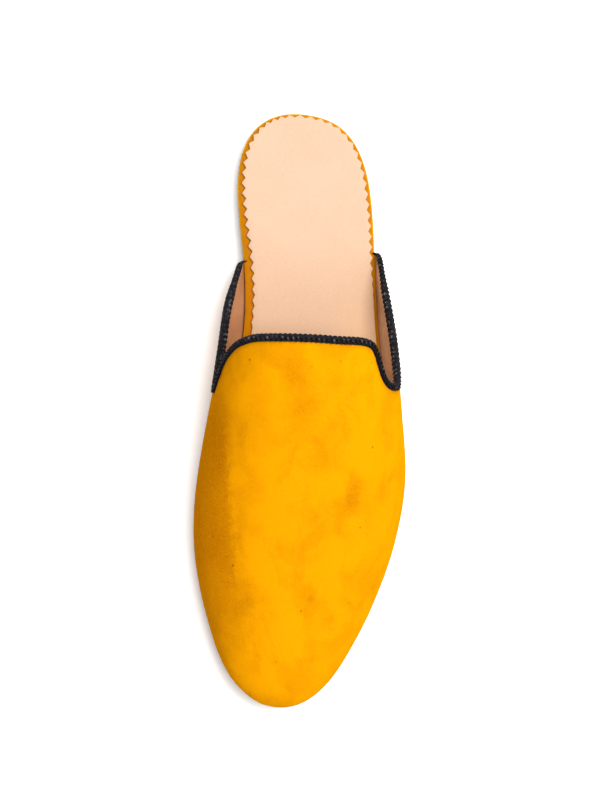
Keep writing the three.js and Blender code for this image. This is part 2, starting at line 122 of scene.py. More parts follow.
# Painted light on the footbed's rolled edge
RIM_PAINTED_LIGHT = (0.56, 0.265, 0.002)
RIM_PATCH = (0.29, 0.09, 0.001)
RIM_PORE = (0.20, 0.07, 0.001)
SOLE_PATCH = (0.07, 0.042, 0.028)
SOLE_SCUFF = (0.16, 0.11, 0.08)
HEEL_RUBBER = (0.020, 0.016, 0.014)
HEEL_PATCH = (0.045, 0.036, 0.03)
HEEL_SPECKLE = (0.09, 0.08, 0.07)
BRAID_THREAD = (0.013, 0.012, 0.014)
# Painted highlights on the braid's crossings
BRAID_GLINT = (0.24, 0.225, 0.23)
BRAID_FUZZ = (0.05, 0.042, 0.042)
FLOOR_WHITE = (0.92, 0.92, 0.92, 1.0)


def sizes():
    return bpy.context.scene.slipper_sizes


def colours():
    return bpy.context.scene.slipper_colours


# Mesh helpers

# Points this near, in millimetres, are one point of a copied solid
MERGE_GAP = 0.002
# Triangles that meet at less than this, in degrees, are paired into quads
PAIR_ANGLE = 60
# A face of the wall is seeded where it slopes up this much, and ends where it turns by more than the angle
UPWARD = 0.5
WALL_EDGE_ANGLE = 50


def select_only(obj):
    bpy.ops.object.select_all(action="DESELECT")
    obj.select_set(True)
    bpy.context.view_layer.objects.active = obj


def edit(obj):
    select_only(obj)
    bpy.ops.object.mode_set(mode="EDIT")


def leave_edit():
    bpy.ops.object.mode_set(mode="OBJECT")


def copy_of(node, name):
    """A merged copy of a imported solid, its triangles paired into quads."""
    obj = bpy.data.objects.new(name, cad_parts[node].data.copy())
    bpy.context.scene.collection.objects.link(obj)
    obj.data.materials.clear()
    edit(obj)
    bpy.ops.mesh.customdata_custom_splitnormals_clear()
    bpy.ops.mesh.select_all(action="SELECT")
    bpy.ops.mesh.remove_doubles(threshold=MERGE_GAP * MM)
    angle = math.radians(PAIR_ANGLE)
    bpy.ops.mesh.tris_convert_to_quads(face_threshold=angle, shape_threshold=angle)
    leave_edit()
    return obj


def apply_modifier(obj, kind, **settings):
    select_only(obj)
    modifier = obj.modifiers.new(kind.title(), kind)
    for name, value in settings.items():
        setattr(modifier, name, value)
    bpy.ops.object.modifier_apply(modifier=modifier.name)


def smooth_sheet(sheet):
    apply_modifier(sheet, "SUBSURF", levels=2, render_levels=2, boundary_smooth="PRESERVE_CORNERS")


def thicken(sheet, thickness):
    """Gives a sheet its thickness, away from the side that shows."""
    apply_modifier(sheet, "SOLIDIFY", thickness=thickness, offset=-1.0, use_even_offset=False)


def round_edges(obj, millimetres, segments, degrees):
    """Rounds each edge that turns by more than the angle."""
    limit = {"limit_method": "ANGLE", "angle_limit": math.radians(degrees)}
    apply_modifier(obj, "BEVEL", width=millimetres * MM, segments=segments, **limit)


def shade(obj, degrees):
    select_only(obj)
    bpy.ops.object.shade_smooth_by_angle(angle=math.radians(degrees))


def finish_piece(obj, material, slot, *nodes):
    obj.data.materials.clear()
    obj.data.materials.append(material)
    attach(obj, BODY)
    if nodes:
        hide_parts(*nodes)


def wall_sheet(name, side):
    """One face of the upper's wall as an open sheet. Side is 1 for the outer face and -1 for the inner."""
    obj = copy_of("upper", name)
    facing = [face for face in obj.data.polygons if face.normal.z * side > UPWARD]
    seed = max(facing, key=lambda face: face.center.z).index
    edit(obj)
    bpy.ops.mesh.select_mode(type="FACE")
    bpy.ops.mesh.select_all(action="DESELECT")
    leave_edit()
    obj.data.polygons[seed].select = True
    edit(obj)
    bpy.ops.mesh.faces_select_linked_flat(sharpness=math.radians(WALL_EDGE_ANGLE))
    bpy.ops.mesh.select_all(action="INVERT")
    bpy.ops.mesh.delete(type="FACE")
    leave_edit()
    return obj


# The leather's edge ends this high over the floor at each wing tip. From there the braid goes on to the
# rim, in steps of millimetres inwards, towards the heel on each side and down.
TIP_HEIGHT = 14.9
TIP_TUCK = [
    {"inwards": 1.2, "medial": 0.6, "lateral": 0.2, "down": 1.0},
    {"inwards": 2.6, "medial": 1.0, "lateral": 0.6, "down": 2.4},
]


def topline_path():
    """The leather's edge from one wing tip round to the other, as points and outward normals."""
    sheet = wall_sheet("topline_guide", 1)
    mesh = bmesh.new()
    mesh.from_mesh(sheet.data)
    mesh.normal_update()
    start = max((vert for vert in mesh.verts if vert.is_boundary), key=lambda vert: vert.co.z)
    arms = []
    for edge in [e for e in start.link_edges if e.is_boundary]:
        arm, vert, along = [], start, edge
        while vert.co.z > TIP_HEIGHT * MM:
            arm.append((*vert.co, *vert.normal))
            vert = along.other_vert(vert)
            along = next(e for e in vert.link_edges if e.is_boundary and e != along)
        arms.append(arm)
    arms.sort(key=lambda arm: arm[-1][0])
    mesh.free()
    bpy.data.objects.remove(sheet)
    rows = np.array(arms[0][::-1] + arms[1][1:])
    return rows[:, :3], rows[:, 3:]


def tucked_ends(points, normals):
    """The path with its two ends led on from the wing tips to the rim."""
    rows = np.hstack([points, normals])
    ends = []
    for row, side in ((rows[0], "medial"), (rows[-1], "lateral")):
        inwards = -unit(np.array([[row[3], row[4], 0.0]]))[0]
        extra = []
        for step in TIP_TUCK:
            shift = inwards * step["inwards"] + np.array([0, step[side], -step["down"]])
            extra.append([*(row[:3] + shift * MM), *row[3:]])
        ends.append(extra)
    return np.vstack([ends[0][::-1], rows, ends[1]])


def resample(values, step, smooth):
    """Rows of a path at an even step of its first three columns' length, softened over some steps."""
    lengths = np.r_[0, np.cumsum(np.linalg.norm(np.diff(values[:, :3], axis=0), axis=1))]
    count = int(lengths[-1] / step) + 1
    at = np.linspace(0, lengths[-1], count)
    rows = np.column_stack([np.interp(at, lengths, column) for column in values.T])
    reach = 3 * smooth
    weights = np.exp(-0.5 * (np.arange(-reach, reach + 1) / smooth) ** 2)
    weights /= weights.sum()
    padded = np.vstack([2 * rows[0] - rows[reach:0:-1], rows, 2 * rows[-1] - rows[-2 : -reach - 2 : -1]])
    return np.column_stack([np.convolve(column, weights, "valid") for column in padded.T])


def unit(rows):
    return rows / np.linalg.norm(rows, axis=1, keepdims=True)


def store(obj, name, values):
    attribute = obj.data.attributes.new(name, "FLOAT", "POINT")
    attribute.data.foreach_set("value", np.asarray(values, np.float32))


def coordinates(obj):
    flat = np.zeros(len(obj.data.vertices) * 3)
    obj.data.vertices.foreach_get("co", flat)
    return flat.reshape(-1, 3)


def distances(obj, points):
    """How far each vertex lies from a path."""
    tree = kdtree.KDTree(len(points))
    for index, point in enumerate(points):
        tree.insert(point, index)
    tree.balance()
    return np.array([tree.find(co)[2] for co in coordinates(obj)])


# Shader helpers


class Shader:
    """Adds nodes to a material's or group's tree and links them by socket name."""

    def __init__(self, tree):
        self.tree = tree

    def add(self, kind, inputs=None, **settings):
        made = self.tree.nodes.new(kind)
        for name, value in settings.items():
            setattr(made, name, value)
        for name, value in (inputs or {}).items():
            socket = made.inputs[name]
            if isinstance(value, bpy.types.NodeSocket):
                self.tree.links.new(value, socket)
            else:
                socket.default_value = value
        return made

    def math(self, operation, a, b=0.0, clamp=False):
        return self.add("ShaderNodeMath", {0: a, 1: b}, operation=operation, use_clamp=clamp).outputs[0]

    def range(self, value, low, high, to_low=0.0, to_high=1.0):
        inputs = {"Value": value, "From Min": low, "From Max": high, "To Min": to_low, "To Max": to_high}
        return self.add("ShaderNodeMapRange", inputs, interpolation_type="SMOOTHSTEP").outputs["Result"]

    def mix(self, share, a, b):
        made = self.add("ShaderNodeMix", {"Factor": share}, data_type="RGBA")
        for socket, value in ((made.inputs[6], a), (made.inputs[7], b)):
            if isinstance(value, bpy.types.NodeSocket):
                self.tree.links.new(value, socket)
            else:
                socket.default_value = (*value[:3], 1.0)
        return made.outputs[2]

    def blend(self, colour, mask, amount, tone):
        """A colour with some of a second tone where the mask is 1."""
        return self.mix(self.math("MULTIPLY", mask, amount), colour, tone)

    def axes(self, vector):
        return self.add("ShaderNodeSeparateXYZ", {0: vector}).outputs

    def noise(self, vector, scale, detail=2.0, roughness=0.5, distortion=0.0):
        inputs = {"Vector": vector, "Scale": scale, "Detail": detail, "Roughness": roughness}
        inputs["Distortion"] = distortion
        return self.add("ShaderNodeTexNoise", inputs, normalize=True).outputs["Fac"]

    def shake(self, vector, scale, amount):
        """The place moved about by a noise, at most half the amount each way."""
        inputs = {"Vector": vector, "Scale": scale, "Detail": 2.0}
        noise = self.add("ShaderNodeTexNoise", inputs).outputs["Color"]
        inputs = {0: noise, 1: (0.5, 0.5, 0.5)}
        centred = self.add("ShaderNodeVectorMath", inputs, operation="SUBTRACT").outputs[0]
        scaled = self.add("ShaderNodeVectorMath", {0: centred, "Scale": amount}, operation="SCALE").outputs[0]
        return self.add("ShaderNodeVectorMath", {0: vector, 1: scaled}, operation="ADD").outputs[0]

    def stretch(self, vector, x, y, z):
        return self.add("ShaderNodeMapping", {"Vector": vector, "Scale": (x, y, z)}).outputs["Vector"]

    def bump(self, height, strength, distance):
        inputs = {"Height": height, "Strength": strength, "Distance": distance}
        return self.add("ShaderNodeBump", inputs).outputs["Normal"]

    def place(self):
        return self.add("ShaderNodeTexCoord").outputs["Object"]

    def attribute(self, name):
        return self.add("ShaderNodeAttribute", attribute_name=name, attribute_type="GEOMETRY").outputs["Fac"]


def shader_group(name, inputs, outputs, build):
    """A node group made once, then placed in each material that uses its effect."""
    if name in bpy.data.node_groups:
        return bpy.data.node_groups[name]
    group = bpy.data.node_groups.new(name, "ShaderNodeTree")
    for label, kind, default in inputs:
        socket = group.interface.new_socket(label, in_out="INPUT", socket_type=kind)
        if default is not None:
            socket.default_value = default
    for label, kind in outputs:
        group.interface.new_socket(label, in_out="OUTPUT", socket_type=kind)
    start = group.nodes.new("NodeGroupInput")
    end = group.nodes.new("NodeGroupOutput")
    for label, socket in build(Shader(group), start.outputs).items():
        group.links.new(socket, end.inputs[label])
    return group


def use_group(shader, group, inputs):
    return shader.add("ShaderNodeGroup", inputs, node_tree=group).outputs


def grain_group():
    """Leather grain: small plump cells with creases between them, and scattered pores."""

    def build(shader, given):
        moved = shader.shake(given["Vector"], 700.0, 0.6 * MM)
        scale = shader.math("DIVIDE", 1000.0, given["Cell size"])
        inputs = {"Vector": moved, "Scale": scale, "Randomness": 1.0}
        cells = shader.add("ShaderNodeTexVoronoi", inputs, feature="DISTANCE_TO_EDGE").outputs["Distance"]
        creases = shader.range(cells, 0.0, 0.16)
        pore_scale = shader.math("MULTIPLY", scale, 0.7)
        inputs = {"Vector": given["Vector"], "Scale": pore_scale, "Randomness": 1.0}
        dots = shader.add("ShaderNodeTexVoronoi", inputs, feature="F1").outputs["Distance"]
        pores = shader.range(dots, 0.06, 0.18, 1.0, 0.0)
        height = shader.math("SUBTRACT", creases, shader.math("MULTIPLY", pores, 0.6))
        return {"Height": height, "Pores": pores}

    inputs = [("Vector", "NodeSocketVector", None), ("Cell size", "NodeSocketFloat", 0.6)]
    outputs = [(label, "NodeSocketFloat") for label in ("Height", "Pores")]
    return shader_group("leather_grain", inputs, outputs, build)


def nap_group():
    """Suede nap: short fibres that lie in drifts, and the lighter and darker marks of a hand over them."""

    def build(shader, given):
        drift = shader.noise(given["Vector"], 55.0, 3.0, 0.55, 0.4)
        fibres = shader.noise(shader.stretch(given["Vector"], 1.0, 0.35, 1.0), 5200.0, 2.0, 0.6)
        tufts = shader.noise(given["Vector"], 1300.0, 3.0, 0.6)
        fibre_height = shader.math("MULTIPLY", fibres, 0.55)
        height = shader.math("ADD", fibre_height, shader.math("MULTIPLY", tufts, 0.6))
        stroked = shader.noise(shader.stretch(given["Vector"], 1.0, 0.4, 1.0), 90.0, 4.0, 0.6, 0.8)
        marks = shader.range(stroked, 0.52, 0.68)
        return {"Height": height, "Drift": drift, "Marks": marks, "Tufts": tufts}

    outputs = [(label, "NodeSocketFloat") for label in ("Height", "Drift", "Marks", "Tufts")]
    return shader_group("suede_nap", [("Vector", "NodeSocketVector", None)], outputs, build)


def specks_group():
    """Sparse dark specks and fine dust, as a mask."""

    def build(shader, given):
        inputs = {"Vector": given["Vector"], "Scale": given["Scale"], "Randomness": 1.0}
        cells = shader.add("ShaderNodeTexVoronoi", inputs, feature="F1")
        near = shader.range(cells.outputs["Distance"], 0.02, 0.075, 1.0, 0.0)
        chance = shader.add("ShaderNodeSeparateColor", {0: cells.outputs["Color"]}).outputs[0]
        chosen = shader.range(chance, 0.8, 0.86)
        return {"Mask": shader.math("MULTIPLY", near, chosen)}

    inputs = [("Vector", "NodeSocketVector", None), ("Scale", "NodeSocketFloat", 120.0)]
    return shader_group("specks", inputs, [("Mask", "NodeSocketFloat")], build)


def new_material(name):
    material = bpy.data.materials.new(name)
    material.use_nodes = True
    tree = material.node_tree
    tree.nodes.clear()
    shader = Shader(tree)
    surface = shader.add("ShaderNodeBsdfPrincipled")
    output = shader.add("ShaderNodeOutputMaterial")
    tree.links.new(surface.outputs[0], output.inputs["Surface"])
    return material, shader, surface


def wire(shader, surface, **sockets):
    for name, value in sockets.items():
        socket = surface.inputs[name.replace("_", " ")]
        if isinstance(value, bpy.types.NodeSocket):
            shader.tree.links.new(value, socket)
        else:
            socket.default_value = value


# Small dark marks on the suede, in millimetres across and along from the middle of the slipper
SUEDE_SPECKS = [
    {"x": -22.8, "y": 21.6, "radius": 0.5},
    {"x": 15.8, "y": 20.9, "radius": 0.35},
    {"x": 29.4, "y": 20.4, "radius": 0.35},
    {"x": 0.0, "y": -87.5, "radius": 0.45},
    {"x": -38.5, "y": -55.0, "radius": 0.45},
    {"x": -29.6, "y": -67.5, "radius": 0.6},
    {"x": -31.5, "y": -75.0, "radius": 0.35},
    {"x": 25.5, "y": -51.0, "radius": 0.4},
    {"x": 30.5, "y": -16.0, "radius": 0.5},
]
# Stroked nap on the suede: soft darker streaks
SUEDE_STREAKS = [
    {"x": 22.0, "y": -36.0, "across": 5.0, "along": 14.0, "depth": 0.6},
    {"x": -3.5, "y": 15.0, "across": 9.0, "along": 17.0, "depth": 0.45},
    {"x": 1.0, "y": 2.0, "across": 7.0, "along": 9.0, "depth": 0.3},
    {"x": -34.0, "y": -56.0, "across": 11.0, "along": 22.0, "depth": 0.5},
    {"x": -30.0, "y": -88.0, "across": 13.0, "along": 32.0, "depth": 0.55},
    {"x": 37.5, "y": -13.0, "across": 4.0, "along": 9.0, "depth": 0.35},
    {"x": 17.0, "y": -47.0, "across": 4.0, "along": 9.0, "depth": 0.4},
    {"x": 3.0, "y": -80.0, "across": 6.0, "along": 8.0, "depth": 0.35},
    {"x": -35.5, "y": -22.0, "across": 5.0, "along": 24.0, "depth": 0.45},
]


def spot(shader, place, x, y, across, along):
    """A soft oval mask on the surface under a point, 1 in its middle."""
    inputs = {"Vector": place, "Location": (-x * MM, -y * MM, 0)}
    moved = shader.add("ShaderNodeMapping", inputs).outputs["Vector"]
    scaled = shader.stretch(moved, 1 / (across * MM), 1 / (along * MM), 0.0)
    length = shader.add("ShaderNodeVectorMath", {0: scaled}, operation="LENGTH").outputs["Value"]
    return shader.range(length, 0.25, 1.0, 1.0, 0.0)


def medial_shade_band(shader, place):
    """Painted shade on the medial flank below the vamp's shoulder, as a mask."""
    parts = shader.axes(place)
    across = shader.math("ADD", parts["X"], shader.math("MULTIPLY", parts["Y"], 0.04))
    flank = shader.range(across, -29.5 * MM, -35.5 * MM)
    flank = shader.math("MULTIPLY", flank, shader.range(parts["Y"], 16.0 * MM, -10.0 * MM))
    return shader.math("MULTIPLY", flank, shader.range(parts["Y"], -105.0 * MM, -60.0 * MM))


def suede_material():
    material, shader, surface = new_material("mustard_suede")
    place = shader.place()
    nap = use_group(shader, nap_group(), {"Vector": place})
    deep = shader.range(nap["Drift"], 0.38, 0.68)
    deep = shader.math("MULTIPLY", deep, 0.45)
    deep = shader.math("ADD", deep, shader.math("MULTIPLY", nap["Marks"], 0.30))
    shaken = shader.shake(place, 320.0, 6.0 * MM)
    for streak in SUEDE_STREAKS:
        mask = spot(shader, shaken, streak["x"], streak["y"], streak["across"], streak["along"])
        deep = shader.math("ADD", deep, shader.math("MULTIPLY", mask, streak["depth"]))
    pulled = shader.range(shader.attribute("edge_mm"), 1.5, 4.5, 0.55, 0.0)
    deep = shader.math("ADD", deep, pulled, clamp=True)
    colour = shader.mix(deep, colours().suede, colours().suede_deep)
    # Painted shade: the suede is darkened where it faces the medial side, more so towards the toe.
    facing = shader.axes(shader.add("ShaderNodeTexCoord").outputs["Normal"])["X"]
    painted_flank_shade = shader.range(facing, -0.5, -0.98)
    along = shader.axes(place)["Y"]
    painted_flank_shade = shader.math("MULTIPLY", painted_flank_shade, shader.range(along, 24.0 * MM, 0.0, 0.35, 1.0))
    colour = shader.blend(colour, painted_flank_shade, 0.5, SUEDE_PAINTED_FLANK_SHADE)
    # Painted shade: a band along the medial flank is darkened.
    colour = shader.blend(colour, medial_shade_band(shader, shaken), 0.62, SUEDE_PAINTED_MEDIAL_SHADE)
    tufts = shader.range(nap["Tufts"], 0.3, 0.7)
    colour = shader.blend(colour, tufts, 0.22, SUEDE_TUFT)
    marks = use_group(shader, specks_group(), {"Vector": place, "Scale": 95.0})["Mask"]
    marks = shader.math("MULTIPLY", marks, 0.4)
    rough_place = shader.shake(place, 2200.0, 0.5 * MM)
    for speck in SUEDE_SPECKS:
        x, y, radius = speck["x"], speck["y"], speck["radius"]
        marks = shader.math("ADD", marks, spot(shader, rough_place, x, y, radius, radius * 1.5), clamp=True)
    colour = shader.blend(colour, marks, 0.75, SUEDE_SPECK)
    rough = shader.range(nap["Drift"], 0.3, 0.7, 0.98, 0.86)
    normal = shader.bump(nap["Height"], 0.45, 0.25 * MM)
    wire(shader, surface, Base_Color=colour, Roughness=rough, Normal=normal)
    wire(shader, surface, Specular_IOR_Level=0.0, Sheen_Weight=0.1, Sheen_Roughness=0.5)
    wire(shader, surface, Sheen_Tint=SUEDE_SHEEN)
    return material


def lining_material():
    material, shader, surface = new_material("lining_leather")
    place = shader.place()
    grain = use_group(shader, grain_group(), {"Vector": place, "Cell size": 0.55})
    patches = shader.range(shader.noise(place, 70.0, 4.0, 0.6, 0.3), 0.35, 0.68)
    edge = shader.range(shader.attribute("edge_mm"), 2.6, 5.0, 1.0, 0.0)
    # Painted light: the lining is lightened towards the lateral side.
    across = shader.axes(place)["X"]
    lateral = shader.range(across, 0.0, 30.0 * MM)
    colour = shader.mix(lateral, colours().lining, LINING_PAINTED_LIGHT)
    colour = shader.blend(colour, edge, 0.8, colours().lining_edge)
    colour = shader.blend(colour, patches, 0.35, LINING_PATCH)
    colour = shader.blend(colour, grain["Pores"], 0.45, LINING_PORE)
    rough = shader.range(patches, 0.0, 1.0, 0.72, 0.6)
    normal = shader.bump(grain["Height"], 0.35, 0.12 * MM)
    wire(shader, surface, Base_Color=colour, Roughness=rough, Normal=normal, Specular_IOR_Level=0.35)
    return material


def sock_material():
    material, shader, surface = new_material("sock_leather")
    place = shader.place()
    grain = use_group(shader, grain_group(), {"Vector": place, "Cell size": 0.7})
    patches = shader.range(shader.noise(place, 38.0, 5.0, 0.6, 0.5), 0.36, 0.66)
    fine = shader.range(shader.noise(place, 1500.0, 3.0, 0.6), 0.38, 0.68)
    parts = shader.axes(place)
    # Painted shade: the sock is darkened towards the throat, where the vamp shades it.
    painted_throat_shade = shader.range(parts["Y"], 85.0 * MM, 22.0 * MM, 0.0, 0.8)
    colour = shader.mix(painted_throat_shade, colours().sock, SOCK_PAINTED_SHADE)
    # Painted light: the sock's lateral side near the throat is lightened.
    lateral = shader.math("MULTIPLY", shader.range(parts["X"], 6.0 * MM, 30.0 * MM), painted_throat_shade)
    colour = shader.mix(lateral, colour, SOCK_PAINTED_LIGHT)
    colour = shader.blend(colour, patches, 0.5, SOCK_PATCH)
    colour = shader.blend(colour, fine, 0.22, SOCK_FLECK)
    colour = shader.blend(colour, grain["Pores"], 0.30, SOCK_PORE)
    marks = use_group(shader, specks_group(), {"Vector": place, "Scale": 150.0})["Mask"]
    colour = shader.blend(colour, marks, 0.4, SOCK_SPECK)
    cut = shader.range(shader.attribute("cut"), 0.4, 0.6)
    colour = shader.blend(colour, cut, 0.55, SOCK_CUT_EDGE)
    rough = shader.range(patches, 0.0, 1.0, 0.74, 0.62)
    normal = shader.bump(grain["Height"], 0.3, 0.1 * MM)
    wire(shader, surface, Base_Color=colour, Roughness=rough, Normal=normal, Specular_IOR_Level=0.3)
    return material


def rim_material():
    material, shader, surface = new_material("rim_leather")
    place = shader.place()
    grain = use_group(shader, grain_group(), {"Vector": place, "Cell size": 0.5})
    patches = shader.range(shader.noise(place, 110.0, 4.0, 0.6, 0.4), 0.35, 0.7)
    # Painted light and shade: the roll that faces sideways is lightened, and the flat top keeps the dyed rim
    # colour, darkened as painted shade.
    painted_roll_light = shader.range(shader.attribute("roll"), 0.05, 0.45)
    colour = shader.mix(painted_roll_light, colours().rim, RIM_PAINTED_LIGHT)
    colour = shader.blend(colour, patches, 0.4, RIM_PATCH)
    colour = shader.blend(colour, grain["Pores"], 0.35, RIM_PORE)
    rough = shader.range(patches, 0.0, 1.0, 0.62, 0.5)
    normal = shader.bump(grain["Height"], 0.35, 0.1 * MM)
    wire(shader, surface, Base_Color=colour, Roughness=rough, Normal=normal, Specular_IOR_Level=0.03)
    return material


def sole_material():
    material, shader, surface = new_material("sole_leather")
    place = shader.place()
    grain = use_group(shader, grain_group(), {"Vector": place, "Cell size": 0.45})
    patches = shader.range(shader.noise(place, 45.0, 5.0, 0.6, 0.6), 0.35, 0.7)
    height = shader.axes(place)["Z"]
    under = shader.range(height, 0.9 * MM, 0.2 * MM)
    scratched = shader.noise(shader.stretch(place, 1.0, 0.18, 1.0), 420.0, 4.0, 0.65, 0.6)
    scuffs = shader.range(scratched, 0.5, 0.72)
    colour = shader.blend(colours().sole, patches, 0.45, SOLE_PATCH)
    scuff_and_glint_share = shader.math("MULTIPLY", shader.math("MULTIPLY", scuffs, under), 0.5)
    colour = shader.mix(scuff_and_glint_share, colour, SOLE_SCUFF)
    rough = shader.range(scuffs, 0.0, 1.0, 0.48, 0.72)
    normal = shader.bump(grain["Height"], 0.25, 0.1 * MM)
    wire(shader, surface, Base_Color=colour, Roughness=rough, Normal=normal)
    return material


def heel_material():
    material, shader, surface = new_material("heel_rubber")
    place = shader.place()
    speckle = shader.range(shader.noise(place, 2200.0, 2.0, 0.6), 0.4, 0.7)
    patches = shader.range(shader.noise(place, 60.0, 4.0, 0.6, 0.4), 0.35, 0.7)
    colour = shader.blend(HEEL_RUBBER, patches, 0.4, HEEL_PATCH)
    colour = shader.blend(colour, speckle, 0.15, HEEL_SPECKLE)
    rough = shader.range(patches, 0.0, 1.0, 0.7, 0.85)
    normal = shader.bump(speckle, 0.2, 0.06 * MM)
    wire(shader, surface, Base_Color=colour, Roughness=rough, Normal=normal)
    return material


def braid_material():
    material, shader, surface = new_material("black_braid")
    turn = shader.attribute("turn")
    along = shader.attribute("along_mm")
    twist = shader.math("ADD", shader.math("MULTIPLY", along, 1.9), shader.math("MULTIPLY", turn, 2.0))
    thread = shader.math("SINE", shader.math("MULTIPLY", twist, 2 * math.pi))
    thread = shader.range(thread, -1.0, 1.0)
    fuzz = shader.noise(shader.place(), 3500.0, 2.0, 0.6)
    colour = shader.blend(colours().braid, thread, 0.7, BRAID_THREAD)
    # Painted highlight: light glints on the plait's crossings, at places picked by a noise.
    scuff_and_glint_share = shader.range(shader.noise(shader.place(), 620.0, 2.0, 0.6), 0.5, 0.62)
    glint = shader.math("MULTIPLY", shader.math("MULTIPLY", shader.attribute("glint"), scuff_and_glint_share), thread)
    colour = shader.blend(colour, glint, 0.7, BRAID_GLINT)
    colour = shader.mix(shader.range(fuzz, 0.64, 0.8, 0.0, 0.35), colour, BRAID_FUZZ)
    rough = shader.range(thread, 0.0, 1.0, 0.8, 0.6)
    height = shader.math("ADD", thread, shader.math("MULTIPLY", fuzz, 0.5))
    normal = shader.bump(height, 0.7, 0.15 * MM)
    wire(shader, surface, Base_Color=colour, Roughness=rough, Normal=normal, Specular_IOR_Level=0.06)
    return material


# The pieces

# Soft troughs (negative) and swells of the suede by hand, in millimetres
HAND_MARKS = [
    {"x": -27.0, "y": 18.0, "turn": 35, "long": 14.0, "wide": 4.0, "deep": -0.45},
    {"x": 25.0, "y": -38.0, "turn": 75, "long": 16.0, "wide": 4.5, "deep": -0.35},
    {"x": 14.0, "y": -50.0, "turn": 70, "long": 15.0, "wide": 5.0, "deep": -0.30},
    {"x": -30.0, "y": -30.0, "turn": 95, "long": 22.0, "wide": 6.0, "deep": -0.35},
    {"x": -5.0, "y": -88.0, "turn": 10, "long": 18.0, "wide": 7.0, "deep": -0.25},
    {"x": 2.0, "y": -20.0, "turn": 85, "long": 30.0, "wide": 12.0, "deep": 0.30},
]

# Below this upward slope the sheet is the flank, which the hand marks leave as it is
SIDE_OF_VAMP = 0.2


def press_by_hand(obj):
    """Moves a sheet's points along their normals into the troughs and swells of HAND_MARKS."""
    for vert, normal in zip(obj.data.vertices, [v.normal.copy() for v in obj.data.vertices]):
        shift = 0.0
        for mark in HAND_MARKS:
            angle = math.radians(mark["turn"])
            dx, dy = vert.co.x / MM - mark["x"], vert.co.y / MM - mark["y"]
            along = (dx * math.cos(angle) + dy * math.sin(angle)) / mark["long"]
            across = (dy * math.cos(angle) - dx * math.sin(angle)) / mark["wide"]
            if normal.z > SIDE_OF_VAMP:
                shift += mark["deep"] * math.exp(-along * along - across * across)
        vert.co += normal * shift * MM


def soften(obj, name, size):
    """Uneven swell of a few centimetres over a sheet."""
    texture = bpy.data.textures.new(name, "CLOUDS")
    texture.noise_scale = size * MM
    texture.noise_depth = 2
    apply_modifier(
        obj,
        "DISPLACE",
        texture=texture,
        texture_coords="LOCAL",
        strength=sizes().unevenness,
        mid_level=0.5,
    )


class SLIPPER_OT_upper(bpy.types.Operator):
    """Suede upper: the wall's outer face, smoothed, worked by hand and given its thickness"""

    bl_idname = "slipper.upper"
    bl_label = "Suede upper"

    def execute(self, context):
        points, _ = topline_path()
        sheet = wall_sheet("suede_upper", 1)
        smooth_sheet(sheet)
        skive(sheet, points)
        press_by_hand(sheet)
        soften(sheet, "suede_swell", 22.0)
        thicken(sheet, sizes().suede_thickness)
        store(sheet, "edge_mm", distances(sheet, points) / MM)
        shade(sheet, 60)
        finish_piece(sheet, suede_material(), "suede", "upper")
        return {"FINISHED"}


class SLIPPER_OT_lining(bpy.types.Operator):
    """Lining leather: the wall's inner face"""

    bl_idname = "slipper.lining"
    bl_label = "Lining"

    def execute(self, context):
        points, normals = topline_path()
        inner = points - normals * WALL * MM
        sheet = wall_sheet("lining", -1)
        smooth_sheet(sheet)
        skive(sheet, inner)
        thicken(sheet, sizes().lining_thickness)
        store(sheet, "edge_mm", distances(sheet, inner) / MM)
        shade(sheet, 60)
        finish_piece(sheet, lining_material(), None)
        return {"FINISHED"}


# Share of its full size that the braid has near a wing tip, by the distance from its end
TIP_TAPER = [
    {"distance": 0.0, "share": 0.3},
    {"distance": 3.0, "share": 0.5},
    {"distance": 7.0, "share": 0.72},
    {"distance": 18.0, "share": 0.76},
    {"distance": 25.0, "share": 1.0},
]


def tip_share(distance):
    """Share of full thickness at a distance in metres from the braid's end."""
    at = [row["distance"] * MM for row in TIP_TAPER]
    return np.interp(distance, at, [row["share"] for row in TIP_TAPER])


# The wall is pared to this half thickness under the braid, over this width, in millimetres
PARED_HALF = 0.5
PARED_WIDTH = 5.0


def skive(sheet, edge):
    """Brings a face of the wall towards the wall's middle beside its edge, as pared leather is."""
    near = np.clip(1 - distances(sheet, edge) / (PARED_WIDTH * MM), 0, 1)
    amounts = (WALL / 2 - PARED_HALF) * MM * near * near * (3 - 2 * near)
    normals = [vert.normal.copy() for vert in sheet.data.vertices]
    for vert, normal, amount in zip(sheet.data.vertices, normals, amounts):
        vert.co -= normal * amount


# The braid's plait: how high its cords lie and how far they rise over each other, in cord thicknesses,
# and where round the edge each crossing catches the light, in degrees of its swing
CORD_LIFT = 0.95
CORD_RISE = 0.42
GLINT_AT = 38
GLINT_SPREAD = 16
# Sides and steps of a cord, and the tape's faces in millimetres over the leather
CORD_SIDES = 10
CORD_EVERY = 3
TAPE_EVERY = 8
TAPE_POINTS = 15
TAPE_TOP = 0.22
TAPE_BOTTOM = 0.04
# Step along the braid's course and the length over which its bends are softened, in millimetres
COURSE_STEP = 0.1
COURSE_SOFTENING = 0.9


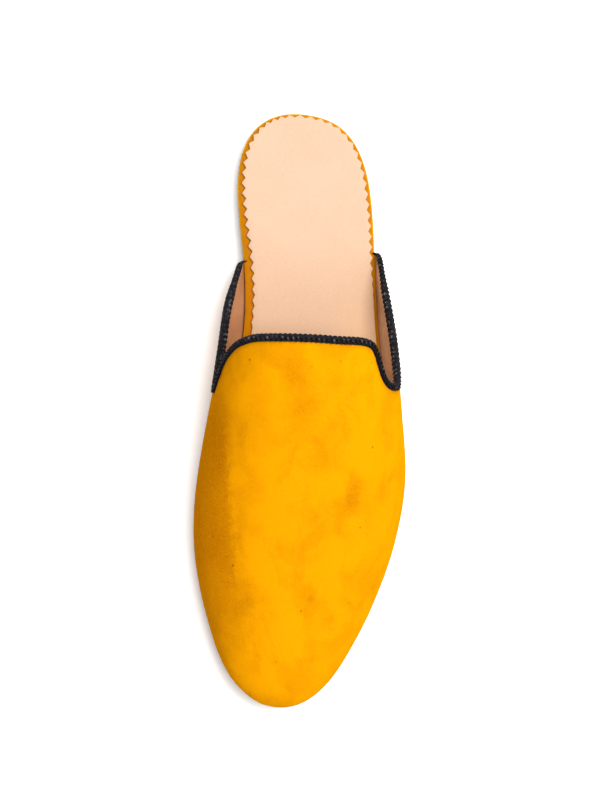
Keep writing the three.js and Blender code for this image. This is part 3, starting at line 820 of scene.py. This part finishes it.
class Braid:
    """The braid's course over the leather's edge, and the mesh that is laid along it."""

    def __init__(self, step):
        self.step = step
        points, normals = topline_path()
        rows = tucked_ends(points - normals * WALL / 2 * MM, normals)
        rows = resample(rows, step, int(COURSE_SOFTENING * MM / step))
        self.middle = rows[:, :3]
        along = unit(np.gradient(self.middle, axis=0))
        out = rows[:, 3:] - along * np.sum(rows[:, 3:] * along, axis=1, keepdims=True)
        self.out = unit(out)
        self.down = unit(np.cross(along, self.out))
        self.count = len(rows)
        self.length = (self.count - 1) * step
        ends = np.minimum(np.arange(self.count), np.arange(self.count)[::-1]) * step
        self.share = tip_share(ends)
        self.verts, self.faces, self.turns, self.alongs, self.glints = [], [], [], [], []

    def at(self, index, around, height):
        """A place by the distance round the edge from its crest and the height over the leather."""
        share = self.share[index]
        radius = (PARED_HALF + 0.05) * MM * max(share, 0.6) + height * share
        around = (around + sizes().braid_shift) * share
        quarter = math.pi / 2 * radius
        if abs(around) < quarter:
            angle = around / radius
            across, deep = math.sin(angle) * radius, -math.cos(angle) * radius
        else:
            across, deep = math.copysign(radius, around), abs(around) - quarter
        return self.middle[index] + self.out[index] * across + self.down[index] * deep

    def loft(self, rings, turns, alongs, glints):
        """Faces between rings of points, closed at both ends."""
        base, sides = len(self.verts), len(rings[0])
        for ring, along, glint in zip(rings, alongs, glints):
            self.verts.extend(ring)
            self.turns.extend(turns)
            self.alongs.extend([along / MM] * sides)
            self.glints.extend([glint] * sides)
        for k in range(len(rings) - 1):
            for s in range(sides):
                a, b = base + k * sides + s, base + k * sides + (s + 1) % sides
                self.faces.append((a, b, b + sides, a + sides))
        self.faces.append(tuple(range(base + sides - 1, base - 1, -1)))
        last = base + (len(rings) - 1) * sides
        self.faces.append(tuple(range(last, last + sides)))

    def cord(self, phase, period):
        """One cord of the plait, going from side to side and over and under the others."""
        reach, width, thickness = sizes().braid_reach, sizes().cord_width, sizes().cord_thickness
        crossings = sizes().cords - 1
        indices = range(0, self.count, CORD_EVERY)
        path, up, scale, glints = [], [], [], []
        for index in indices:
            turn = 2 * math.pi * (index * self.step / period + phase)
            around = reach * math.sin(turn)
            height = thickness * (CORD_LIFT + CORD_RISE * math.sin(crossings * turn))
            path.append(self.at(index, around, height))
            up.append(self.at(index, around, height + 0.1 * MM) - path[-1])
            scale.append(self.share[index])
            over = math.degrees(turn) % 180 - GLINT_AT
            glints.append(math.exp(-((over / GLINT_SPREAD) ** 2)))
        path = np.array(path)
        forward = unit(np.gradient(path, axis=0))
        side = unit(np.cross(forward, np.array(up)))
        top = np.cross(side, forward)
        angles = np.arange(CORD_SIDES) * 2 * math.pi / CORD_SIDES
        rings = [
            [
                path[k]
                + side[k] * math.cos(angle) * width / 2 * scale[k]
                + top[k] * math.sin(angle) * thickness / 2 * scale[k]
                for angle in angles
            ]
            for k in range(len(path))
        ]
        lengths = np.r_[0, np.cumsum(np.linalg.norm(np.diff(path, axis=0), axis=1))]
        self.loft(rings, [s / CORD_SIDES for s in range(CORD_SIDES)], lengths, glints)

    def tape(self):
        """The thin tape under the plait, folded over the edge."""
        reach = sizes().braid_reach - sizes().cord_width * 0.1
        spread = np.linspace(-reach, reach, TAPE_POINTS)
        section = [(around, TAPE_TOP * MM) for around in spread]
        section += [(around, TAPE_BOTTOM * MM) for around in spread[::-1]]
        indices = range(0, self.count, TAPE_EVERY)
        rings = [[self.at(index, *place) for place in section] for index in indices]
        lengths = [index * self.step for index in indices]
        self.loft(rings, [0.0] * len(section), lengths, [0.0] * len(rings))


class SLIPPER_OT_braid(bpy.types.Operator):
    """Black braid plaited over the leather's edge, with a tape under it"""

    bl_idname = "slipper.braid"
    bl_label = "Topline braid"

    def execute(self, context):
        braid = Braid(COURSE_STEP * MM)
        cords = sizes().cords
        for cord in range(cords):
            braid.cord(cord / cords, cords * sizes().lobe_pitch)
        braid.tape()
        mesh = bpy.data.meshes.new("braid")
        mesh.from_pydata([tuple(vert) for vert in braid.verts], [], braid.faces)
        piece = bpy.data.objects.new("braid", mesh)
        context.scene.collection.objects.link(piece)
        edit(piece)
        bpy.ops.mesh.select_all(action="SELECT")
        bpy.ops.mesh.normals_make_consistent(inside=False)
        leave_edit()
        store(piece, "turn", braid.turns)
        store(piece, "along_mm", braid.alongs)
        store(piece, "glint", braid.glints)
        shade(piece, 70)
        finish_piece(piece, braid_material(), "braid", "topline_braid")
        print("braid length", round(braid.length / MM, 1), "mm")
        return {"FINISHED"}


class SLIPPER_OT_sock(bpy.types.Operator):
    """Sock leather with its pinked edge"""

    bl_idname = "slipper.sock"
    bl_label = "Sock"

    def execute(self, context):
        sock = copy_of("sock", "pinked_sock")
        round_edges(sock, 0.14, 2, 50)
        shade(sock, 35)
        store(sock, "cut", [0.0 if abs(v.normal.z) > 0.8 else 1.0 for v in sock.data.vertices])
        finish_piece(sock, sock_material(), "sock_leather", "sock")
        return {"FINISHED"}


class SLIPPER_OT_footbed(bpy.types.Operator):
    """Footbed wrapped in dyed leather, whose roll shows round the heel"""

    bl_idname = "slipper.footbed"
    bl_label = "Footbed"

    def execute(self, context):
        footbed = copy_of("footbed", "wrapped_footbed")
        for vert, normal in zip(footbed.data.vertices, [v.normal.copy() for v in footbed.data.vertices]):
            vert.co += Vector((normal.x, normal.y, 0.0)) * RIM_PUSH * MM
        apply_modifier(footbed, "SUBSURF", levels=2, render_levels=2)
        store(footbed, "roll", [1.0 - max(0.0, vert.normal.z) for vert in footbed.data.vertices])
        shade(footbed, 60)
        finish_piece(footbed, rim_material(), "dyed_leather", "footbed")
        return {"FINISHED"}


class SLIPPER_OT_sole(bpy.types.Operator):
    """Outsole and heel lift"""

    bl_idname = "slipper.sole"
    bl_label = "Outsole and heel"

    def execute(self, context):
        sole = copy_of("outsole", "outsole_leather")
        round_edges(sole, 0.3, 3, 30)
        shade(sole, 40)
        finish_piece(sole, sole_material(), "sole_leather", "outsole")
        heel = copy_of("heel_lift", "heel")
        round_edges(heel, 0.5, 3, 60)
        shade(heel, 40)
        finish_piece(heel, heel_material(), "heel_rubber", "heel_lift")
        return {"FINISHED"}


# The stage, in metres: the camera hangs overhead, a little to the slipper's medial side
CAMERA_PLACE = (-0.048, 0.004, 1.40)
CAMERA_AIM = (0.0, 0.0044, 0.025)
FIELD_HEIGHT = 0.3514
SENSOR_HEIGHT = 36.0
FLOOR_SIZE = 8.0
LIGHT_PLACE = (0.34, 0.28, 1.60)
LIGHT_SIZE = 1.0
LIGHT_WATTS = 42.0
LIGHT_TINT = (1.0, 0.99, 0.97)
# Strength of the surroundings on the medial side, and on the lateral side and above
DIM_SIDE = 0.15
BRIGHT_SIDE = 1.05


def look_at(obj, target, up):
    """Turns a camera or light to a point, with a direction that is up in its view."""
    back = (obj.location - Vector(target)).normalized()
    right = Vector(up).cross(back).normalized()
    above = back.cross(right)
    obj.rotation_euler = Matrix((right, above, back)).transposed().to_euler()


class SLIPPER_OT_stage(bpy.types.Operator):
    """White floor, soft light from the upper right and the camera overhead"""

    bl_idname = "slipper.stage"
    bl_label = "Stage"

    def execute(self, context):
        bpy.ops.object.select_all(action="DESELECT")
        bpy.ops.mesh.primitive_plane_add(size=FLOOR_SIZE, location=(0, 0, 0))
        floor = context.active_object
        floor.name = "floor"
        material, shader, surface = new_material("pale_floor")
        wire(shader, surface, Base_Color=FLOOR_WHITE, Roughness=0.9, Specular_IOR_Level=0.1)
        floor.data.materials.append(material)

        data = bpy.data.lights.new("key_light", "AREA")
        data.shape = "SQUARE"
        data.size = LIGHT_SIZE
        data.energy = LIGHT_WATTS
        data.color = LIGHT_TINT
        light = bpy.data.objects.new("key_light", data)
        light.location = LIGHT_PLACE
        look_at(light, (0, 0, 0), (0, 1, 0))
        context.scene.collection.objects.link(light)

        world = bpy.data.worlds.new("studio")
        world.use_nodes = True
        backdrop = world.node_tree.nodes["Background"]
        backdrop.inputs["Color"].default_value = (1.0, 1.0, 1.0, 1.0)
        sky = Shader(world.node_tree)
        side = sky.axes(sky.add("ShaderNodeTexCoord").outputs["Generated"])["X"]
        strength = sky.range(side, -0.95, -0.1, DIM_SIDE, BRIGHT_SIDE)
        world.node_tree.links.new(strength, backdrop.inputs["Strength"])
        context.scene.world = world
        context.scene.view_settings.view_transform = "Standard"

        data = bpy.data.cameras.new("camera")
        camera = bpy.data.objects.new("camera", data)
        camera.location = CAMERA_PLACE
        look_at(camera, CAMERA_AIM, (0, 1, 0))
        distance = (camera.location - Vector(CAMERA_AIM)).length
        data.sensor_fit = "VERTICAL"
        data.sensor_height = SENSOR_HEIGHT
        data.lens = SENSOR_HEIGHT * distance / FIELD_HEIGHT
        context.scene.collection.objects.link(camera)
        context.scene.camera = camera
        return {"FINISHED"}


OPERATORS = (
    SLIPPER_OT_upper,
    SLIPPER_OT_lining,
    SLIPPER_OT_braid,
    SLIPPER_OT_sock,
    SLIPPER_OT_footbed,
    SLIPPER_OT_sole,
    SLIPPER_OT_stage,
)


class SLIPPER_PT_panel(bpy.types.Panel):
    """Sizes, colours and the steps that build the slipper"""

    bl_label = "Slipper"
    bl_idname = "SLIPPER_PT_panel"
    bl_space_type = "VIEW_3D"
    bl_region_type = "UI"
    bl_category = "Slipper"

    def draw(self, context):
        for group in (context.scene.slipper_sizes, context.scene.slipper_colours):
            for name in group.__annotations__:
                self.layout.prop(group, name)
        for operator in OPERATORS:
            self.layout.operator(operator.bl_idname)


CLASSES = (SlipperSizes, SlipperColours, *OPERATORS, SLIPPER_PT_panel)


def register():
    for cls in CLASSES:
        bpy.utils.register_class(cls)
    bpy.types.Scene.slipper_sizes = bpy.props.PointerProperty(type=SlipperSizes)
    bpy.types.Scene.slipper_colours = bpy.props.PointerProperty(type=SlipperColours)


def unregister():
    del bpy.types.Scene.slipper_colours
    del bpy.types.Scene.slipper_sizes
    for cls in reversed(CLASSES):
        bpy.utils.unregister_class(cls)


def main():
    register()
    bpy.ops.slipper.upper()
    bpy.ops.slipper.lining()
    bpy.ops.slipper.braid()
    bpy.ops.slipper.sock()
    bpy.ops.slipper.footbed()
    bpy.ops.slipper.sole()
    bpy.ops.slipper.stage()


if __name__ == "__main__":
    main()
